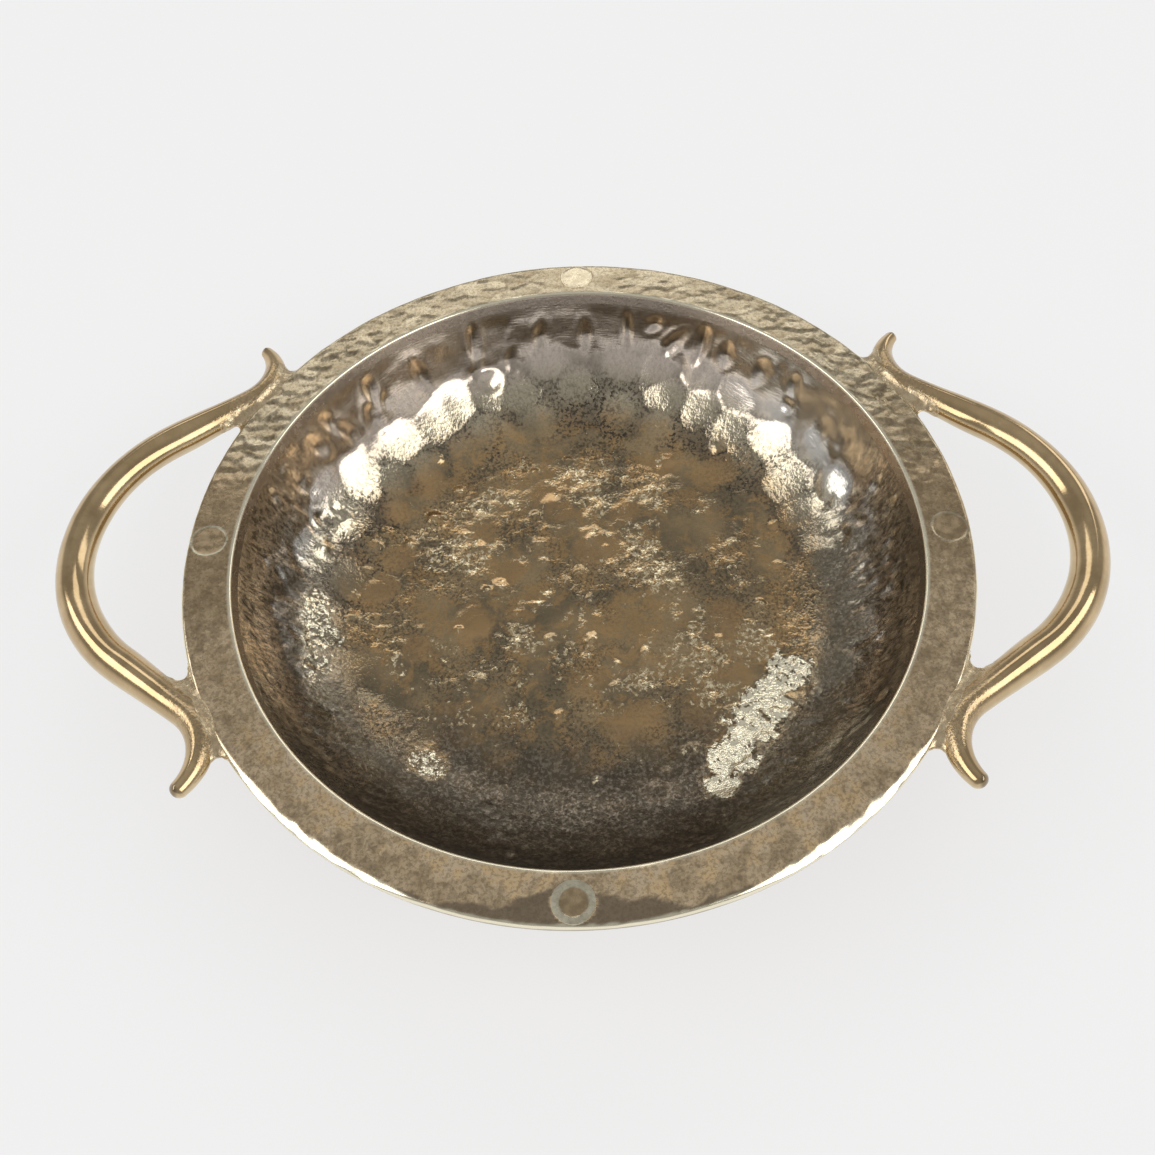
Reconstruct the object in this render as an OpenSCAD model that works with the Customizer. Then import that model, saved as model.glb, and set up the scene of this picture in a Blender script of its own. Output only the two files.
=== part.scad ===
// Shallow hammered brass bowl with a flat rim band and two looped handles.
// The dished shell turns out into a narrow lip, the rim band lies on that lip
// and is held by four flush rivets, and each handle is a bent rod whose two
// roots are filed to the rim's edge and brazed there.
// Millimetres, +Z up, the origin under the middle of the base, handles along X.

/* [Rim band] */
// Outer radius of the rim band
rim_r = 90; // [75:1:110]
// Width of the flat band, from its outer to its inner edge
rim_w = 11.3; // [9:0.1:18]
// Thickness of the band
rim_t = 2.8; // [2:0.2:4]
// Rounding along the band's outer edge
rim_edge_r = 0.9; // [0.3:0.1:0.9]
// Rounding along the band's inner edge, where the metal is burnished
rim_mouth_r = 0.6; // [0.2:0.1:1]

/* [Shell] */
// Depth of the inside, from the top of the rim down to the floor
bowl_depth = 30; // [25:1:42]
// Thickness of the hammered shell
shell_t = 2; // [1.2:0.1:3]
// Slope of the upper wall, from the horizontal
wall_angle = 65; // [55:1:74]
// Inside radius of the turn between wall and floor
turn_r = 30; // [18:1:34]
// Width of the turned-out lip under the rim band
lip_w = 9.3; // [8:0.1:10.4]

/* [Rivets] */
// Radius of a flush rivet head
head_r = 4.3; // [3:0.1:4.6]
// Thickness of a rivet head
head_t = 1; // [0.6:0.1:1.4]
// Radius of a rivet shank
shank_r = 1.6; // [1:0.1:2.4]
// Radius of the closed tail under the lip
tail_r = 2.8; // [2.5:0.1:3.4]
// Thickness of the closed tail
tail_t = 1; // [0.6:0.1:1.6]
// Distance from the band's outer edge to a rivet's axis
rivet_inset = 5.2; // [5:0.1:6.4]
// Radial clearance of a rivet in its hole and its seat
rivet_fit = 0.05; // [0.02:0.01:0.15]

/* [Handles] */
// How far a loop stands out past the rim's edge
handle_reach = 30; // [24:1:42]
// Radius of the rod along the loop
rod_r = 4.45; // [3:0.05:5.5]
// Radius of the rod where it is drawn down at the root
root_r = 3.5; // [2.6:0.1:4.2]
// Depth of the rod's axis below the top of the rim
handle_drop = 1.2; // [0:0.1:2]
// Angle from the handle's middle line to a root, round the bowl's axis
root_angle = 31; // [27:0.5:36]
// Length of the straight neck between loop and root
neck_len = 21; // [12:1:28]
// Radius of the outward bend at the root, on the rod's axis
horn_bend_r = 13.1; // [10:0.1:16]
// Depth that the root's flank is filed away for its seat
seat_depth = 2.2; // [1:0.1:3]
// Angle that a horn runs on past the middle of its seat
horn_sweep = 63; // [50:1:75]
// Width left at the tip of a horn, which is filed flat on its inner side
horn_tip_w = 4.1; // [3:0.1:5]
// Height left at the tip of a horn, which is filed above and below
horn_tip_h = 4.8; // [3.5:0.1:5]

/* [Brazing] */
// Thickness of the braze between the rim's edge and a root
braze_t = 0.6; // [0.3:0.1:1]
// Width of the braze fillets, out from the rim's edge
braze_w = 2.6; // [2:0.1:3.4]
// Height of a braze seam
braze_h = 4.8; // [3:0.2:6]
// Radius of the hollow in a fillet's face
fillet_r = 3; // [2:0.1:4]
// Thickness of a fillet where it runs out along the rim
fillet_feather = 0.3; // [0.2:0.1:0.6]

/* [Hidden] */
$fn = 240;
// Straight steps that stand for one rounded stretch of a turned outline
arc_steps = 14;
// Cuts run this far past what they cut
past = 1;

// Heights of the shell's floor and of the two faces of the rim band
floor_z = shell_t;
rim_top_z = floor_z + bowl_depth;
rim_low_z = rim_top_z - rim_t;

// The mouth, the lip under the band and the run of the inside wall
mouth_r = rim_r - rim_w;
lip_r = mouth_r + lip_w;
turn_top_z = floor_z + turn_r * (1 - cos(wall_angle));
floor_r = mouth_r - (rim_low_z - turn_top_z) / tan(wall_angle) - turn_r * sin(wall_angle);
turn_z = floor_z + turn_r;
wall_out_r = mouth_r + shell_t / sin(wall_angle) - shell_t / tan(wall_angle);
rivet_ring_r = rim_r - rivet_inset;

// The loop's radius follows from its reach, the neck and the place of the roots
rod_z = rim_top_z - handle_drop;
seat_r = rim_r + braze_t;
horn_mid_r = seat_r + root_r - seat_depth + horn_bend_r;
horn_mid = horn_mid_r * [cos(root_angle), sin(root_angle)];
apex_x = rim_r + handle_reach - rod_r;
apex_dx = horn_mid.x - apex_x;
loop_r = (apex_dx ^ 2 + horn_mid.y ^ 2 - horn_bend_r ^ 2 - neck_len ^ 2) / (2 * (horn_bend_r - apex_dx));
loop_x = apex_x - loop_r;
mids_angle = atan2(horn_mid.y, horn_mid.x - loop_x);
loop_half = mids_angle - atan2(neck_len, loop_r + horn_bend_r);

// Loop, neck and horn are forged into one rod: each length runs a little way
// into the thicker one before it, and is finer than that one by a hair's step
forge_lap = 0.6;
forge_step = 0.03;

// A horn bends from the neck to its tip about the middle point of its bend
horn_start_angle = 180 + loop_half + forge_lap / horn_bend_r * 180 / PI;
horn_tip_angle = 180 + root_angle - horn_sweep;
horn_tip_face = horn_bend_r - root_r;
// The flat on a horn's inner side leans in towards the tip by this angle
horn_flat_lean = 5;
// Length over which the tip's height is filed down
horn_taper_len = 11;
horn_taper = atan((root_r - horn_tip_h / 2) / horn_taper_len);

// A seam covers the seat and runs on into both crotches, by these angles round the bowl
seat_half = acos((horn_mid_r ^ 2 + seat_r ^ 2 - (horn_bend_r + root_r) ^ 2) / (2 * horn_mid_r * seat_r));
neck_fillet = 3;
horn_fillet = 1.4;
seam_from = root_angle - seat_half - neck_fillet;
seam_to = root_angle + seat_half + horn_fillet;

brass = [0.62, 0.54, 0.36];
dark_brass = [0.38, 0.33, 0.25];
bright_brass = [0.78, 0.65, 0.38];
grey_braze = [0.55, 0.52, 0.45];

function arc(mid, r, from, to) =
    [for (i = [0:arc_steps]) mid + r * [cos(from + (to - from) * i / arc_steps),
                                        sin(from + (to - from) * i / arc_steps)]];

// Half section of the dished shell with its flat base and turned-out lip
module shell_outline() {
    inside = arc([floor_r, turn_z], turn_r, -90, wall_angle - 90);
    outside = arc([floor_r, turn_z], turn_r + shell_t, wall_angle - 90, -90);
    polygon(concat([[0, floor_z]], inside,
                   [[mouth_r, rim_low_z], [lip_r, rim_low_z], [lip_r, rim_low_z - shell_t],
                    [wall_out_r, rim_low_z - shell_t]],
                   outside, [[0, 0]]));
}

// Half section of the rim band, rounded along both edges
module rim_outline() {
    polygon(concat([[mouth_r, rim_low_z]],
                   arc([rim_r - rim_edge_r, rim_low_z + rim_edge_r], rim_edge_r, -90, 0),
                   arc([rim_r - rim_edge_r, rim_top_z - rim_edge_r], rim_edge_r, 0, 90),
                   arc([mouth_r + rim_mouth_r, rim_top_z - rim_mouth_r], rim_mouth_r, 90, 180)));
}

// Repeats a cut at the four rivets, a quarter turn apart
module at_rivets() {
    for (turn = [0:90:270]) {
        rotate([0, 0, turn])
            translate([rivet_ring_r, 0, 0])
                children();
    }
}

module rivet_hole() {
    translate([0, 0, rim_low_z - shell_t - past])
        cylinder(r = shank_r + rivet_fit, h = shell_t + rim_t + 2 * past);
}

module bowl_shell() {
    color(dark_brass)
    difference() {
        rotate_extrude()
            shell_outline();
        at_rivets()
            rivet_hole();
    }
}

module rim_band() {
    color(brass)
    difference() {
        rotate_extrude()
            rim_outline();
        at_rivets()
            rivet_hole();
        at_rivets()
            translate([0, 0, rim_top_z - head_t])
                cylinder(r = head_r + rivet_fit, h = head_t + past);
    }
}

// Flush head in the band, shank through band and lip, tail closed under the lip
module rivet(turn) {
    lip_low_z = rim_low_z - shell_t;
    color(brass)
    rotate([0, 0, turn])
    translate([rivet_ring_r, 0, 0]) {
        translate([0, 0, rim_top_z - head_t])
            cylinder(r = head_r, h = head_t);
        translate([0, 0, lip_low_z])
            cylinder(r = shank_r, h = rim_top_z - head_t - lip_low_z);
        translate([0, 0, lip_low_z - tail_t])
            cylinder(r = tail_r, h = tail_t);
    }
}

// Round rod bent to an arc in the handle's plane
module bent_rod(bend_r, r, from, to) {
    rotate([0, 0, from])
        rotate_extrude(angle = to - from)
            translate([bend_r, 0])
                circle(r = r);
}

// Space that a horn is filed down to: flat inside, thinner to the tip, cut off square
module horn_envelope() {
    reach = 2 * horn_bend_r;
    rotate([0, 0, horn_tip_angle])
    translate([horn_tip_face + horn_tip_w, 0, 0])
    rotate([0, 0, horn_flat_lean])
    rotate([90, 0, 0])
    rotate([0, -90, 0])
    linear_extrude(height = reach)
        polygon([[0, -horn_tip_h / 2], [0, horn_tip_h / 2],
                 [-reach, horn_tip_h / 2 + reach * tan(horn_taper)],
                 [-reach, -horn_tip_h / 2 - reach * tan(horn_taper)]]);
}

// One end of the rod: the neck drawn down to the root, then the horn bent outward
module rod_end() {
    translate([loop_x + loop_r * cos(loop_half), loop_r * sin(loop_half), 0])
        rotate([0, 0, loop_half + 90])
            rotate([0, 90, 0])
                translate([0, 0, -forge_lap])
                    cylinder(r1 = rod_r - forge_step, r2 = root_r + forge_step, h = neck_len + forge_lap);
    translate([horn_mid.x, horn_mid.y, 0])
        intersection() {
            bent_rod(horn_bend_r, root_r, horn_tip_angle, horn_start_angle);
            horn_envelope();
        }
}

// Right-hand handle, with its roots filed hollow to fit round the rim's edge
module handle() {
    difference() {
        translate([0, 0, rod_z]) {
            translate([loop_x, 0, 0])
                bent_rod(loop_r, rod_r, -loop_half, loop_half);
            rod_end();
            mirror([0, 1, 0])
                rod_end();
        }
        cylinder(r = seat_r, h = rod_z + rod_r + past);
    }
}

module handle_right() {
    color(bright_brass)
        handle();
}

module handle_left() {
    color(bright_brass)
        mirror([1, 0, 0])
            handle();
}

// Seam of braze at the far right root, hollowed where it runs out beside the rod
module braze_seam() {
    color(grey_braze)
    difference() {
        rotate([0, 0, seam_from])
            rotate_extrude(angle = seam_to - seam_from)
                translate([rim_r, rod_z - braze_h / 2])
                    square([braze_w, braze_h]);
        handle();
        for (end = [seam_from, seam_to]) {
            rotate([0, 0, end])
                translate([rim_r + fillet_feather + fillet_r, 0, rod_z - braze_h / 2 - past])
                    cylinder(r = fillet_r, h = braze_h + 2 * past);
        }
    }
}

module braze_right_far() {
    braze_seam();
}

module braze_right_near() {
    mirror([0, 1, 0])
        braze_seam();
}

module braze_left_far() {
    mirror([1, 0, 0])
        braze_seam();
}

module braze_left_near() {
    rotate([0, 0, 180])
        braze_seam();
}

bowl_shell();
rim_band();
rivet(0);  // rivet_right
rivet(90);  // rivet_far
rivet(180);  // rivet_left
rivet(270);  // rivet_near
handle_left();
handle_right();
braze_left_far();
braze_left_near();
braze_right_far();
braze_right_near();
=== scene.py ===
from math import asin, cos, hypot, pi, radians, sin, sqrt, tan

import bpy
import numpy as np
from mathutils import Matrix, Vector, noise
from mathutils.kdtree import KDTree


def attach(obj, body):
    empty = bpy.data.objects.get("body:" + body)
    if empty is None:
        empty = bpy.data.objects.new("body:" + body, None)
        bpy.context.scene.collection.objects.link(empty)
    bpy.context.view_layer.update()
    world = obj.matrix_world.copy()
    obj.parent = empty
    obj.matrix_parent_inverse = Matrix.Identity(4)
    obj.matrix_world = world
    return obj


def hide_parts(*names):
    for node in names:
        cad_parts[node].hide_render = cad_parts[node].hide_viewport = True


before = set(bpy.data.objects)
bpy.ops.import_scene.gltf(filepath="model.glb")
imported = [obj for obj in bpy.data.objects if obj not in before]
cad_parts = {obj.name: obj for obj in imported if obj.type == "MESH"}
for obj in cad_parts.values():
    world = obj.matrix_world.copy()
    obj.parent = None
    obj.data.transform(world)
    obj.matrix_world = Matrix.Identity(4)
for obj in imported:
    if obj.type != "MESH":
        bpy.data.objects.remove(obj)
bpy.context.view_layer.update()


# Shell
# The dished body is one brass casting, hammered hollow from the inside, with its upper edge turned out
# into a narrow lip that carries the rim band. Rough as cast on the floor, struck with long dents up the
# far wall, and darkened all over by handling. Sizes are in millimetres.
MM = 0.001
FLOOR_R = 46.9
FLOOR_Z = 2.0
TURN_Z = 32.0
TURN_R = 30.0
SHELL_T = 2.0
MOUTH_R = 78.7
LIP_R = 88.0
LIP_Z = 29.2
LIP_LOW = LIP_Z - SHELL_T
SHELL_STEPS = 300
SHELL_SMOOTH = radians(55)
MERGE_WITHIN = 0.002
# Inside, the wall leaves the turn straight for the mouth's edge, which lies level with the turn's middle
WALL_ANGLE = asin(TURN_R / (MOUTH_R - FLOOR_R))
BACK_ANGLE = radians(65)
LIP_IN_R = MOUTH_R - (TURN_Z - LIP_Z) / tan(WALL_ANGLE)
WALL_FROM_R = FLOOR_R + TURN_R * sin(WALL_ANGLE)
WALL_FROM_S = FLOOR_R + TURN_R * WALL_ANGLE
WALL_OUT_R = MOUTH_R + SHELL_T / sin(BACK_ANGLE) - SHELL_T / tan(BACK_ANGLE)
DOWN = -pi / 2


def deselect():
    """Leaves nothing selected."""
    bpy.ops.object.select_all(action="DESELECT")


def edit(picked):
    """Goes into edit mode with all or nothing selected."""
    bpy.ops.object.mode_set(mode="EDIT")
    bpy.ops.mesh.select_all(action=picked)


def leave_edit():
    """Goes back from edit mode."""
    bpy.ops.object.mode_set(mode="OBJECT")


def spun(name, points, steps):
    """Draws a section in the XZ plane by extruding one vertex, and spins it to a closed piece."""
    deselect()
    bpy.ops.mesh.primitive_plane_add(size=MM)
    piece = bpy.context.object
    piece.name = piece.data.name = name
    edit("SELECT")
    bpy.ops.mesh.select_mode(type="VERT")
    bpy.ops.mesh.merge(type="CENTER")
    bpy.ops.transform.translate(value=(points[0][0] * MM, 0, points[0][1] * MM))
    for here, there in zip(points, points[1:]):
        step = ((there[0] - here[0]) * MM, 0, (there[1] - here[1]) * MM)
        bpy.ops.mesh.extrude_region_move(TRANSFORM_OT_translate={"value": step})
    bpy.ops.mesh.select_all(action="SELECT")
    bpy.ops.mesh.spin(steps=steps, angle=2 * pi, center=(0, 0, 0), axis=(0, 0, 1))
    bpy.ops.mesh.select_all(action="SELECT")
    bpy.ops.mesh.remove_doubles(threshold=MERGE_WITHIN * MM)
    bpy.ops.mesh.normals_make_consistent(inside=False)
    leave_edit()
    return piece


def run(start, end, step):
    """Points from start, left out, to end, about a step apart."""
    start, end = np.array(start, float), np.array(end, float)
    count = max(1, round(float(np.linalg.norm(end - start)) / step))
    return [tuple(start + (end - start) * i / count) for i in range(1, count + 1)]


def bend(middle, radius, start, end, step):
    """Points along an arc, its first left out, about a step apart; angles in radians."""
    count = max(2, round(abs(end - start) * radius / step))
    turns = [start + (end - start) * i / count for i in range(1, count + 1)]
    return [(middle[0] + radius * cos(a), middle[1] + radius * sin(a)) for a in turns]


inside = [(0.0, FLOOR_Z)] + run((0, FLOOR_Z), (FLOOR_R, FLOOR_Z), 0.8)
inside += bend((FLOOR_R, TURN_Z), TURN_R, DOWN, WALL_ANGLE + DOWN, 1.2)
inside += run(inside[-1], (LIP_IN_R, LIP_Z), 1.2)
outside = run((LIP_IN_R, LIP_Z), (LIP_R - 0.6, LIP_Z), 3) + [(LIP_R - 0.1, LIP_Z - 0.3), (LIP_R, LIP_Z - 1)]
outside += [(LIP_R - 0.3, LIP_LOW + 0.15), (LIP_R - 1, LIP_LOW)]
outside += run(outside[-1], (WALL_OUT_R + 1.5, LIP_LOW), 2)
outside += [(WALL_OUT_R + 0.4, LIP_LOW - 0.3), (WALL_OUT_R - 0.2, LIP_LOW - 1.2)]
turn_out = bend((FLOOR_R, TURN_Z), TURN_R + SHELL_T, BACK_ANGLE + DOWN, DOWN, 1.6)
outside += run(outside[-1], turn_out[0], 1.6) + turn_out + run(turn_out[-1], (0, 0), 6)
shell = spun("hammered_shell", inside + outside, SHELL_STEPS)

# The turn and the wall take the finest marks, so their inner faces are divided once more
edit("DESELECT")
bpy.ops.mesh.select_mode(type="FACE")
leave_edit()
for face in shell.data.polygons:
    middle = face.center / MM
    out = hypot(middle.x, middle.y)
    faces_in = face.normal.x * middle.x + face.normal.y * middle.y < 0
    on_floor = middle.z > FLOOR_Z - 0.1 and out < FLOOR_R
    face.select = out > FLOOR_R - 3 and middle.z < LIP_Z - 0.05 and (faces_in or on_floor)
bpy.ops.object.mode_set(mode="EDIT")
bpy.ops.mesh.subdivide(number_cuts=1)
leave_edit()


def places(piece):
    """A piece's vertices, in millimetres, and their normals as arrays."""
    found = np.empty(len(piece.data.vertices) * 3, np.float32)
    normals = np.empty_like(found)
    piece.data.vertices.foreach_get("co", found)
    piece.data.vertices.foreach_get("normal", normals)
    return found.reshape(-1, 3).astype(float) / MM, normals.reshape(-1, 3).astype(float)


def polar(at):
    """Distance from the bowl's axis, and degrees round it from its right-hand side."""
    return np.hypot(at[:, 0], at[:, 1]), np.degrees(np.arctan2(at[:, 1], at[:, 0])) % 360


def swell(at, size, shift=0.0):
    """Smooth noise from -1 to 1 with swells of about a size."""
    return np.array([noise.noise(Vector(p)) for p in at / size + shift])


def fade(value, low, high):
    """0 below low, 1 above high and smooth in between."""
    t = np.clip((value - low) / (high - low), 0, 1)
    return t * t * (3 - 2 * t)


def apart(angle, other):
    """Degrees from other to angle, the short way round."""
    return (angle - other + 180) % 360 - 180


at, normals = places(shell)
reach, turn = polar(at)
nearness = -np.sin(np.radians(turn))
leans_in = np.sum(normals[:, :2] * at[:, :2], axis=1) < -0.1 * reach
on_floor = (reach < FLOOR_R + 10) & (normals[:, 2] > 0.5)
is_inside = (at[:, 2] > FLOOR_Z - 0.1) & (leans_in | on_floor)
# Distance up the inside from the middle of the floor
along = np.where(reach <= FLOOR_R, reach, 0.0)
on_turn = (reach > FLOOR_R) & (reach <= WALL_FROM_R)
along = np.where(on_turn, FLOOR_R + TURN_R * np.arcsin(np.clip((reach - FLOOR_R) / TURN_R, 0, 1)), along)
along = np.where(reach > WALL_FROM_R, WALL_FROM_S + (reach - WALL_FROM_R) / cos(WALL_ANGLE), along)
to_lip = WALL_FROM_S + (LIP_IN_R - WALL_FROM_R) / cos(WALL_ANGLE)
far_wall = fade(-nearness, 0.1, 0.55) * fade(along, 64, 74)


def on_inside(degrees, up):
    """The place in the hollow at an angle round it and a distance up from the middle of its floor."""
    if up <= FLOOR_R:
        r, z = up, FLOOR_Z
    elif up <= WALL_FROM_S:
        a = (up - FLOOR_R) / TURN_R
        r, z = FLOOR_R + TURN_R * sin(a), TURN_Z - TURN_R * cos(a)
    else:
        r = WALL_FROM_R + (up - WALL_FROM_S) * cos(WALL_ANGLE)
        z = TURN_Z - TURN_R * cos(WALL_ANGLE) + (up - WALL_FROM_S) * sin(WALL_ANGLE)
    return np.array([r * cos(radians(degrees)), r * sin(radians(degrees)), z])


def away(degrees, up):
    """Each of the shell's vertices' distance from a place in the hollow."""
    return np.linalg.norm(at - on_inside(degrees, up), axis=1)


# Long dents struck up the wall, each with a raised lip; small ones are thrown over the far side and round
# the rest. Degrees round, distance up, half width, half length, lean, depth
DENT_SQUARE = 1.6
DENT_LIP = 0.34
SMALL_DENTS = 14
SIDE_DENTS = 190
dice = np.random.default_rng(11)
throw = dice.uniform
dents = [
    (111.8, 86.0, 1.4, 5.6, 6, 0.6), (97.9, 83.0, 1.6, 3.6, 12, 0.5), (88.5, 82.8, 1.6, 3.4, 0, 0.45),
    (79.7, 85.0, 1.3, 5.8, -5, 0.6), (74.3, 87.2, 1.6, 2.4, 30, 0.5), (70.0, 82.6, 1.7, 4.4, 36, 0.55),
    (64.0, 85.4, 1.5, 5.4, 4, 0.6), (58.3, 84.4, 1.9, 3.0, 0, 0.5), (50.0, 84.8, 2.0, 3.4, 10, 0.55),
    (42.5, 86.6, 1.6, 3.0, -8, 0.45), (135.5, 86, 1.7, 4.6, 10, 0.55), (146.4, 86, 1.6, 4.2, -16, 0.55),
    (144.2, 79.6, 1.8, 3.8, -10, 0.5), (151.7, 84.6, 1.8, 3.6, -18, 0.5), (137.7, 78.4, 2.1, 3.4, 4, 0.5),
    (124.5, 82, 1.7, 4.8, -12, 0.5), (104.6, 77.5, 1.6, 2.8, 20, 0.35), (160, 82, 1.6, 3.8, -8, 0.45),
    (33.0, 80.0, 1.8, 3.8, 12, 0.4), (27.0, 84.0, 1.6, 3.6, 8, 0.4)]
for _ in range(SMALL_DENTS):
    dents.append((throw(25, 158), throw(72, 88), throw(1.0, 1.8), throw(1.6, 3.4), dice.normal(0, 20),
                  throw(0.12, 0.3)))
for _ in range(SIDE_DENTS):
    dents.append((throw(158, 388), throw(66, 89), throw(0.9, 1.6), throw(1.8, 4.4), dice.normal(0, 16),
                  throw(0.16, 0.42)))
struck = np.zeros(len(at))
for degrees, up_to, half_w, half_l, lean, depth in dents:
    across = np.radians(apart(turn, degrees)) * reach
    up = along - up_to
    near = np.nonzero(is_inside & (np.abs(across) < 4 * half_l) & (np.abs(up) < 4 * half_l))[0]
    c, s = cos(radians(lean)), sin(radians(lean))
    u, v = c * across[near] + s * up[near], c * up[near] - s * across[near]
    q = (np.abs(u) / half_w) ** DENT_SQUARE + (np.abs(v) / half_l) ** DENT_SQUARE
    struck[near] += depth * (DENT_LIP * np.exp(-((q - 2.0) / 1.1) ** 2) - np.exp(-q * 1.1))

# Flat rounds left by the planishing hammer where the wall turns into the floor: degrees round and distance
# up of those that show most; the rest fall where there is room
BLOW_APART = 8.5
BLOW_TRIES = 2500
FLAT_R = 34.0
CREASE = 0.05
TILTED_FLAT = (22.6, 75.0)
TILTED_WIDE = 6.5
blows = [
    (148.0, 69.3), (135.0, 68.8), (125.5, 69.0), (119.5, 70.5), (104.5, 67.1), (60.2, 68.0), (53.0, 76.0),
    (42.0, 69.4), (32.0, 64.6), TILTED_FLAT]
blow_at = [on_inside(*blow) for blow in blows]
for _ in range(BLOW_TRIES):
    tried = on_inside(throw(0, 360), throw(50, 86))
    if min(np.linalg.norm(tried - other) for other in blow_at) > BLOW_APART:
        blow_at.append(tried)
blow_tree = KDTree(len(blow_at))
for index, spot in enumerate(blow_at):
    blow_tree.insert(spot, index)
blow_tree.balance()
from_blow = np.array([[found[2] for found in blow_tree.find_n(p, 3)] for p in at])
flats = 0.2 - from_blow ** 2 / (2 * FLAT_R)
planished = flats[:, 0] + CREASE * np.log(np.sum(np.exp((flats - flats[:, :1]) / CREASE), axis=1))
planished = np.maximum(planished, -0.5) * fade(along, 50, 58) * (1 - 0.8 * fade(along, 74, 82))
planished *= 1 - 0.65 * fade(nearness, -0.1, 0.35)
planished *= 1 - 0.7 * np.exp(-(apart(turn, -4) / 13) ** 2)
# One flat at the right is turned up to the light
from_tilted = away(*TILTED_FLAT) / TILTED_WIDE
planished += -0.13 * (along - TILTED_FLAT[1]) * np.exp(-from_tilted ** 3)
gritty = fade(along, 48, 56) * (1 - fade(along, 68, 77))

# The floor stays coarse as cast in patches, and the far wall is scraped smooth
patchy = 0.15 + 0.85 * fade(swell(at, 15, 1.0) + 0.45 * swell(at, 5, 4.0), -0.3, 0.35)
coarse = patchy * (1 - fade(along, 58, 66)) + fade(along, 58, 66) * (0.35 + 0.3 * patchy)
coarse *= 1 - 0.9 * far_wall

# Grainy pale patches, worn bare and painted bright as a reflection of the lights: degrees round, distance up,
# radius, how bare
bare_sheen_patches = [
    (183, 66, 6.0, 0.46), (190, 64.5, 7.0, 0.50), (198, 67, 5.5, 0.46), (337, 54.5, 6.5, 0.66),
    (328, 53, 7.0, 0.70), (318, 53.5, 7.0, 0.72), (309, 56, 6.5, 0.74), (303, 60, 5.0, 0.72),
    (231, 56, 5.5, 0.47)]
bare = np.zeros(len(at))
ragged = 0.35 * swell(at, 3.2, 9.0) + 0.25 * swell(at, 1.4, 2.0)
for degrees, up_to, wide, share in bare_sheen_patches:
    bare = np.maximum(bare, share * (1 - fade(away(degrees, up_to) / wide + ragged, 0.6, 1.15)))
# Lumpy patches of the floor with pale flecks painted as glints: degrees round, distance up, radius
fleck_patches = [
    (90, 38, 8), (84, 32, 6), (154, 36, 8), (150, 29, 6), (21, 22, 7), (48, 23, 6), (330, 33, 9),
    (322, 42, 7), (215, 18, 5), (303, 27, 6), (345, 44, 7), (128, 40, 5), (60, 38, 6)]
flecked = 0.8 * fade(swell(at, 8, 2.5) + 0.7 * swell(at, 3, 6.5), 0.05, 0.55)
for degrees, up_to, wide in fleck_patches:
    flecked = np.maximum(flecked, 1 - fade(away(degrees, up_to) / wide + 2.0 * ragged, 0.45, 1.15))
flecked *= (1 - fade(along, 47, 55)) * (1 - 0.7 * fade(-at[:, 1] + 4 * swell(at, 8, 3.0), 26, 40))

# Painted shade: the near side, the foot of the wall and the right-hand wall are darkest
near_shade = fade(nearness + 0.12 * swell(at, 9, 6.0), 0.45, 0.85)
near_shade *= fade(along + 6 * swell(at, 7, 3.5), 33, 50)
foot_shade = fade(along, 57, 64) * (1 - 0.9 * fade(along, 75, 83)) * fade(nearness, -0.25, 0.05)
foot_shade *= 1 - 0.8 * fade(np.cos(np.radians(turn)), 0.5, 0.85) * fade(along, 68, 78)
right_shade = np.exp(-(apart(turn, 2) / 17) ** 2) * fade(along, 57, 64)
right_shade *= 1 - np.exp(-from_tilted ** 4)
right_shade *= 0.62 + 0.25 * (1 - fade(along, 72, 80))
shaded = np.maximum(np.maximum(near_shade, right_shade), 0.80 * foot_shade) * (1 - fade(bare, 0.1, 0.4))

# Blisters and flat-struck rounds of the casting: degrees round, distance up, radius, and a blister's height;
# more are thrown over the floor, and blisters along the bare patch on the right
FLOOR_BLISTERS = 44
PATCH_BLISTERS = 34
FLOOR_ROUNDS = 22
BLISTERS_TO = 60
ROUNDS_TO = 54
blisters = [
    (110.5, 73.1, 2.5, 0.6), (144.8, 47.4, 1.9, 0.75), (132.3, 48.4, 1.6, 0.6),
    (136.4, 42.3, 1.4, 0.55), (156.9, 47.7, 1.9, 0.6), (168.4, 68.1, 1.8, 0.6),
    (159.4, 66.2, 1.9, 0.6), (178.0, 57.0, 1.4, 0.45)]
for _ in range(FLOOR_BLISTERS):
    blisters.append((throw(0, 360), BLISTERS_TO * sqrt(throw(0, 1)), throw(0.9, 1.7), throw(0.25, 0.55)))
for _ in range(PATCH_BLISTERS):
    blisters.append((throw(292, 338), throw(46, 62), throw(0.8, 1.5), throw(0.3, 0.6)))
rounds = [
    (137.1, 55.3, 5.0), (149.4, 57.1, 4.2), (47.1, 55.5, 4.6), (163.0, 49.0, 4.4), (176.0, 52.0, 4.0),
    (62.0, 50.0, 4.2), (330.0, 43.0, 5.0), (345.0, 36.0, 4.6)]
for _ in range(FLOOR_ROUNDS):
    rounds.append((throw(0, 360), ROUNDS_TO * sqrt(throw(0.05, 1)), throw(3.2, 5.4)))
cast = np.zeros(len(at))
lumpy = 1 + 0.25 * swell(at, 1.5, 4.0)
uneven = 0.06 * swell(at, 2.5, 8.0)
for degrees, up_to, wide, high in blisters:
    gap = away(degrees, up_to) / wide * lumpy
    cast += high * (np.exp(-gap ** 2.4) - 0.12 * np.exp(-((gap - 1.6) / 0.4) ** 2))
    coarse *= 1 - 0.8 * np.exp(-gap ** 6)
    # The tops of the floor's blisters are painted pale as highlights
    flecked = np.maximum(flecked, 0.9 * np.exp(-gap ** 4) * (up_to < 50))
discs = np.zeros(len(at))
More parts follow.
